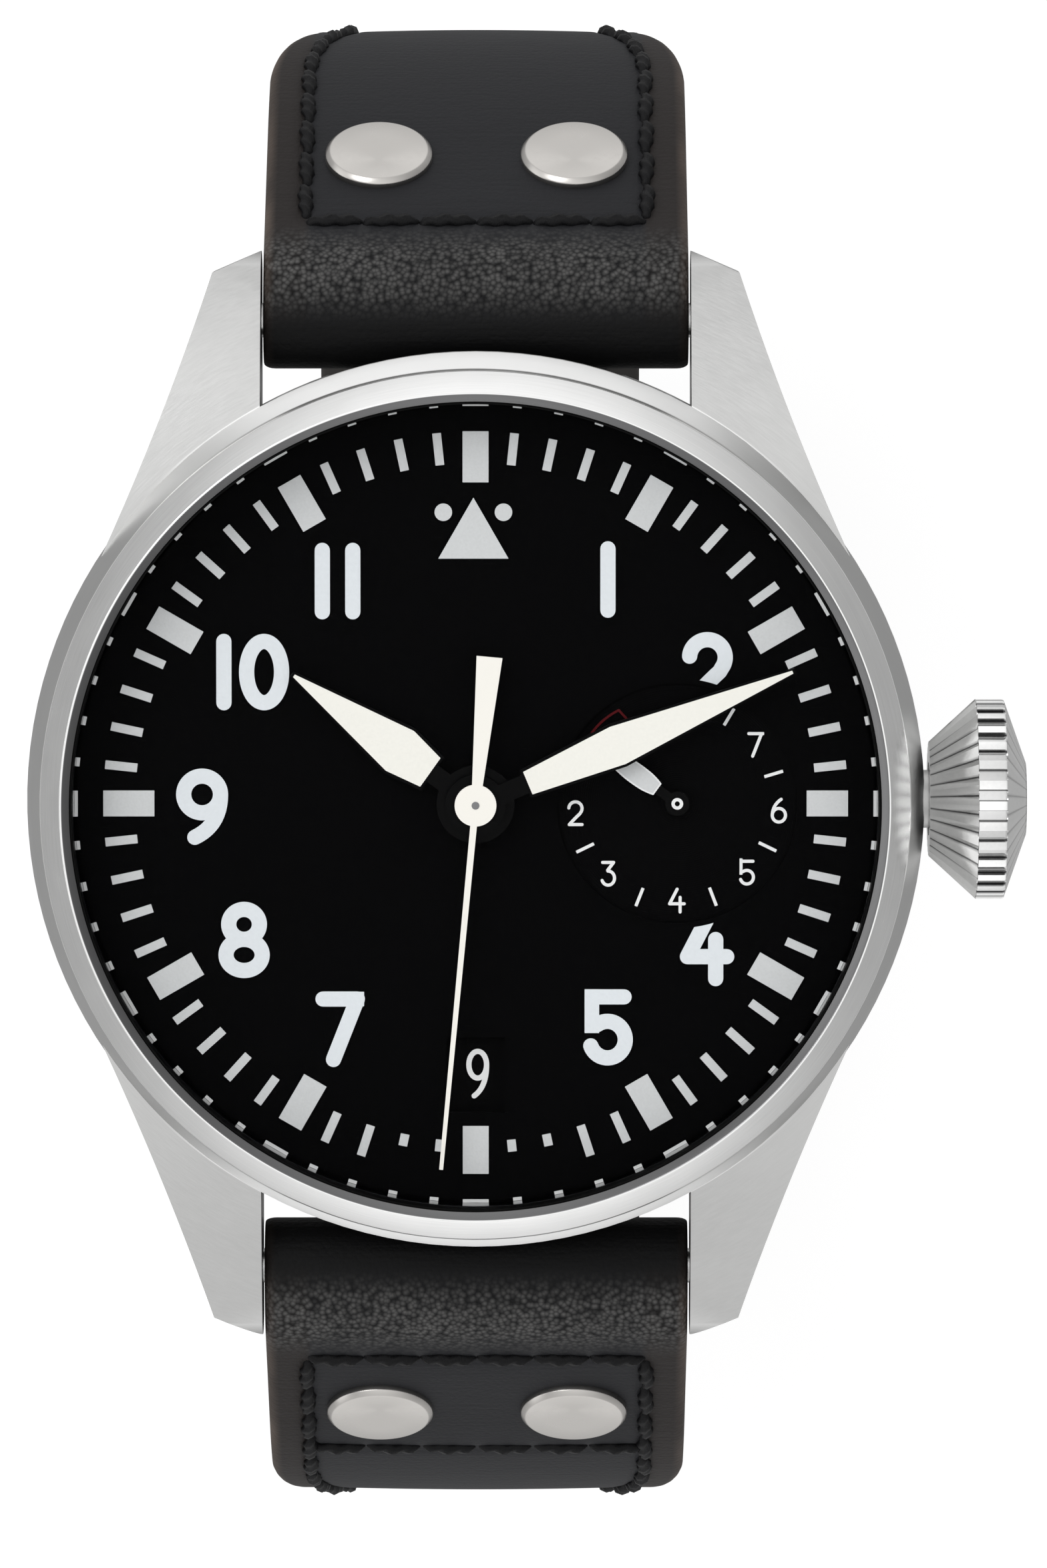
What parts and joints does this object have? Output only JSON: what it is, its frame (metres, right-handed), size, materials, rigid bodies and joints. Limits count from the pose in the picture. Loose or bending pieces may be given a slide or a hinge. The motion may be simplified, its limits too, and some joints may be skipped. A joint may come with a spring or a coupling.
{
  "type": "pilot watch",
  "caption": "Pilot's wristwatch closed in a loop: riveted leather strap, folding clasp, fluted crown and turning hands",
  "frame": {"origin": "middle of the flat foot of the clasp's cover, straight under the hand axis", "axes": "+Z out of the dial, +Y to 12 o'clock, +X to 3 o'clock and the crown"},
  "size_m": [0.0514, 0.079, 0.0698],
  "materials": {
    "brushed_steel": "fine brushed steel",
    "polished_steel": "polished steel",
    "dark_steel": "dark polished ring",
    "sapphire": "clear domed crystal",
    "dial_black": "matte black dial",
    "date_black": "matte black date disc",
    "hand_black": "black lacquer",
    "hand_white": "white lacquer",
    "lume": "luminous filling",
    "leather_black": "matte black calf leather",
    "lining_leather": "dark lining leather",
    "rhodium_plate": "rhodium plated brass",
    "brass_gilt": "gilt brass",
    "soft_iron": "soft iron",
    "ruby": "synthetic ruby",
    "gasket_black": "black seal",
    "spring_steel": "spring steel"
  },
  "bodies": {
    "head": {"mid_case": "brushed_steel", "bezel": "polished_steel", "crystal": "sapphire", "crystal_gasket": "gasket_black", "inner_flange": "dark_steel", "dial": "dial_black", "case_back": "brushed_steel", "case_back_gasket": "gasket_black", "magnetic_shield": "soft_iron", "movement_ring": "brass_gilt", "mainplate": "rhodium_plate", "barrel_bridge": "rhodium_plate", "train_bridge": "rhodium_plate", "balance_cock": "rhodium_plate", "bridge_screws": "polished_steel", "jewels": "ruby", "rotor_bearing": "polished_steel", "date_jumper": "spring_steel", "crown_tube": "polished_steel", "lug_bar_12": "polished_steel", "lug_bar_6": "polished_steel", "hairspring": "spring_steel"},
    "winding_works": {"winding_pinion": "polished_steel"},
    "crown_and_stem": {"crown": "brushed_steel", "crown_gasket": "gasket_black", "winding_stem": "polished_steel"},
    "minutes": {"cannon_pinion": "polished_steel", "minute_hand": "hand_black", "minute_lume": "lume"},
    "hours": {"hour_wheel": "brass_gilt", "hour_hand": "hand_black", "hour_lume": "lume"},
    "seconds": {"fourth_wheel": "brass_gilt", "seconds_hand": "hand_white"},
    "motion_wheel": {"minute_wheel": "brass_gilt"},
    "great": {"great_wheel": "brass_gilt"},
    "third": {"third_wheel": "brass_gilt"},
    "power": {"barrel": "brass_gilt", "mainspring": "spring_steel"},
    "escape": {"escape_wheel": "polished_steel"},
    "lever": {"pallet_fork": "polished_steel"},
    "balance": {"balance_wheel": "brass_gilt"},
    "winding_rotor": {"rotor": "rhodium_plate"},
    "date": {"date_disc": "date_black"},
    "reserve": {"reserve_hand": "hand_white"},
    "strap_12": {"strap_12_leather": "leather_black", "strap_12_lining": "lining_leather", "strap_12_rivets": "brushed_steel", "strap_12_end_bar": "polished_steel"},
    "strap_6": {"strap_6_leather": "leather_black", "strap_6_lining": "lining_leather", "strap_6_rivets": "brushed_steel", "clasp_cover": "brushed_steel", "clasp_stud": "polished_steel", "clasp_cover_pin": "polished_steel"},
    "middle_blade": {"clasp_middle_blade": "brushed_steel", "clasp_fold_pin": "polished_steel"},
    "bow": {"clasp_bow": "brushed_steel"}
  },
  "joints": [
    {"name": "minute_spin", "type": "hinge", "parent": "head", "child": "minutes", "pos_m": [0, 0, 0.06405], "axis": [0, 0, -1], "continuous": true},
    {"name": "hour_spin", "type": "hinge", "parent": "head", "child": "hours", "pos_m": [0, 0, 0.06405], "axis": [0, 0, -1], "continuous": true},
    {"name": "seconds_spin", "type": "hinge", "parent": "head", "child": "seconds", "pos_m": [0, 0, 0.06405], "axis": [0, 0, -1], "continuous": true},
    {"name": "motion_wheel_spin", "type": "hinge", "parent": "head", "child": "motion_wheel", "pos_m": [-0.0039, -0.00142, 0.06405], "axis": [0, 0, -1], "continuous": true},
    {"name": "great_wheel_spin", "type": "hinge", "parent": "head", "child": "great", "pos_m": [-0.00194, 0.00695, 0.06405], "axis": [0, 0, -1], "continuous": true},
    {"name": "third_wheel_spin", "type": "hinge", "parent": "head", "child": "third", "pos_m": [-0.00455, 0.00263, 0.06405], "axis": [0, 0, -1], "continuous": true},
    {"name": "barrel_spin", "type": "hinge", "parent": "head", "child": "power", "pos_m": [0.00473, 0.01015, 0.06405], "axis": [0, 0, -1], "continuous": true},
    {"name": "escape_wheel_spin", "type": "hinge", "parent": "head", "child": "escape", "pos_m": [0.00305, -0.00364, 0.06405], "axis": [0, 0, -1], "continuous": true},
    {"name": "pallet_swing", "type": "hinge", "parent": "head", "child": "lever", "pos_m": [0.00517, -0.00617, 0.06405], "axis": [0, 0, 1], "range_deg": [-5, 5]},
    {"name": "balance_swing", "type": "hinge", "parent": "head", "child": "balance", "pos_m": [0.00784, -0.00935, 0.06405], "axis": [0, 0, 1], "range_deg": [-140, 140], "stiffness_Nm_per_rad": 0.00000076},
    {"name": "rotor_spin", "type": "hinge", "parent": "head", "child": "winding_rotor", "pos_m": [0, 0, 0.06405], "axis": [0, 0, 1], "continuous": true},
    {"name": "date_spin", "type": "hinge", "parent": "head", "child": "date", "pos_m": [0, 0, 0.06405], "axis": [0, 0, 1], "continuous": true},
    {"name": "reserve_swing", "type": "hinge", "parent": "head", "child": "reserve", "pos_m": [0.01034, 0, 0.06405], "axis": [0, 0, 1], "range_deg": [-41.5, 253]},
    {"name": "crown_spin", "type": "hinge", "parent": "head", "child": "winding_works", "pos_m": [0, 0, 0.0612], "axis": [1, 0, 0], "continuous": true},
    {"name": "crown_pull", "type": "slide", "parent": "winding_works", "child": "crown_and_stem", "axis": [1, 0, 0], "range_m": [0, 0.0016]},
    {"name": "strap_6_swing", "type": "hinge", "parent": "head", "child": "strap_6", "pos_m": [0, -0.0246, 0.0578], "axis": [-1, 0, 0], "range_deg": [0, 25]},
    {"name": "strap_12_swing", "type": "hinge", "parent": "head", "child": "strap_12", "pos_m": [0, 0.0246, 0.0578], "axis": [1, 0, 0], "range_deg": [0, 25]},
    {"name": "blade_fold", "type": "hinge", "parent": "strap_6", "child": "middle_blade", "pos_m": [0, 0.0124, 0.0046], "axis": [-1, 0, 0], "range_deg": [0, 136]},
    {"name": "bow_fold", "type": "hinge", "parent": "middle_blade", "child": "bow", "pos_m": [0, -0.013, 0.00559], "axis": [1, 0, 0], "range_deg": [0, 172.88]}
  ],
  "couplings": [
    {"joint": "hour_spin", "follows": "minute_spin", "ratio": 0.083333},
    {"joint": "seconds_spin", "follows": "minute_spin", "ratio": 60},
    {"joint": "motion_wheel_spin", "follows": "minute_spin", "ratio": -0.33333},
    {"joint": "great_wheel_spin", "follows": "minute_spin", "ratio": 1},
    {"joint": "third_wheel_spin", "follows": "minute_spin", "ratio": -8},
    {"joint": "barrel_spin", "follows": "minute_spin", "ratio": -0.125},
    {"joint": "escape_wheel_spin", "follows": "minute_spin", "ratio": -600},
    {"joint": "strap_12_swing", "follows": "strap_6_swing", "ratio": 1},
    {"joint": "blade_fold", "follows": "strap_6_swing", "ratio": 5.44},
    {"joint": "bow_fold", "follows": "strap_6_swing", "ratio": 6.915}
  ]
}
